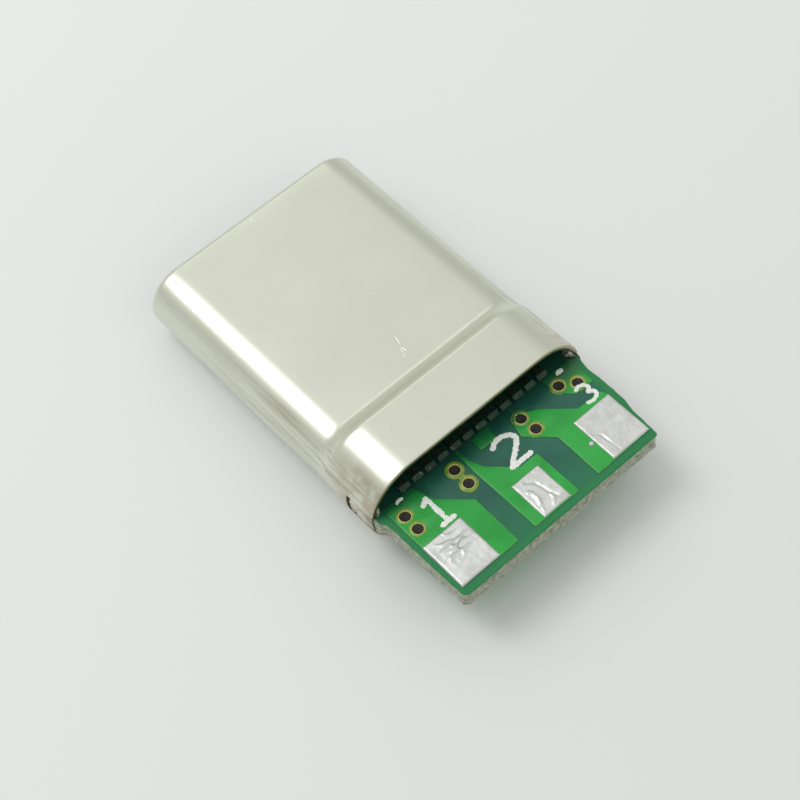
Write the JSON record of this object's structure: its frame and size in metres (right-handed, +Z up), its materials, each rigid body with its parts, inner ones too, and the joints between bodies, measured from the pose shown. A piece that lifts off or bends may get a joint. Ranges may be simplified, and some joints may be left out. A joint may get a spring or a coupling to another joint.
{
  "type": "USB-C plug on solder board",
  "caption": "Bare USB-C plug with a nickel plated shell and contact tails soldered to a short green board with tinned cable lands.",
  "frame": {"origin": "centre of the part's bounding box in plan, at the underside of the shell's rear section", "axes": "+Y out of the nose, along the way the plug is pushed in; +Z up, from the side without cable lands to the side with them; +X to the plug's right seen from behind with the lands up"},
  "size_m": [0.0084, 0.0144, 0.0033],
  "materials": {
    "nickel_sheet": "satin nickel plate on drawn steel sheet",
    "spring_steel": "plain spring steel",
    "contact_gold": "gold plated copper alloy",
    "gold_plating": "plated copper, dull",
    "solder": "tinned, slightly rippled",
    "black_plastic": "matt moulded",
    "board_mask": "green mask over fibreglass, rough pale edges",
    "masked_copper": "green mask over copper"
  },
  "bodies": {
    "root": {"shell": "nickel_sheet", "housing_upper": "black_plastic", "housing_lower": "black_plastic", "housing_left": "black_plastic", "housing_right": "black_plastic", "housing_web": "black_plastic", "upper_carrier": "black_plastic", "lower_carrier": "black_plastic", "latch_plate": "spring_steel", "ground_spring_top": "spring_steel", "ground_spring_bottom": "spring_steel", "circuit_board": "board_mask", "via_barrels": "gold_plating", "ground_pour": "masked_copper", "control_pour": "masked_copper", "power_pour": "masked_copper", "return_pour": "masked_copper", "link_pour": "masked_copper", "data_pour": "masked_copper", "ground_pour_bottom": "masked_copper", "power_pour_bottom": "masked_copper", "ground_land": "solder", "control_land": "solder", "power_land": "solder", "tail_pads_top": "solder", "tail_pads_bottom": "solder", "tail_joints_top": "solder", "tail_joints_bottom": "solder", "shell_joint_left": "solder", "shell_joint_right": "solder", "solder_bead": "solder", "contact_a1": "contact_gold", "contact_a2": "contact_gold", "contact_a3": "contact_gold", "contact_a4": "contact_gold", "contact_a5": "contact_gold", "contact_a6": "contact_gold", "contact_a7": "contact_gold", "contact_a8": "contact_gold", "contact_a9": "contact_gold", "contact_a10": "contact_gold", "contact_a11": "contact_gold", "contact_a12": "contact_gold", "contact_b1": "contact_gold", "contact_b2": "contact_gold", "contact_b3": "contact_gold", "contact_b4": "contact_gold", "contact_b5": "contact_gold", "contact_b6": "contact_gold", "contact_b7": "contact_gold", "contact_b8": "contact_gold", "contact_b9": "contact_gold", "contact_b10": "contact_gold", "contact_b11": "contact_gold", "contact_b12": "contact_gold"}
  },
  "joints": []
}
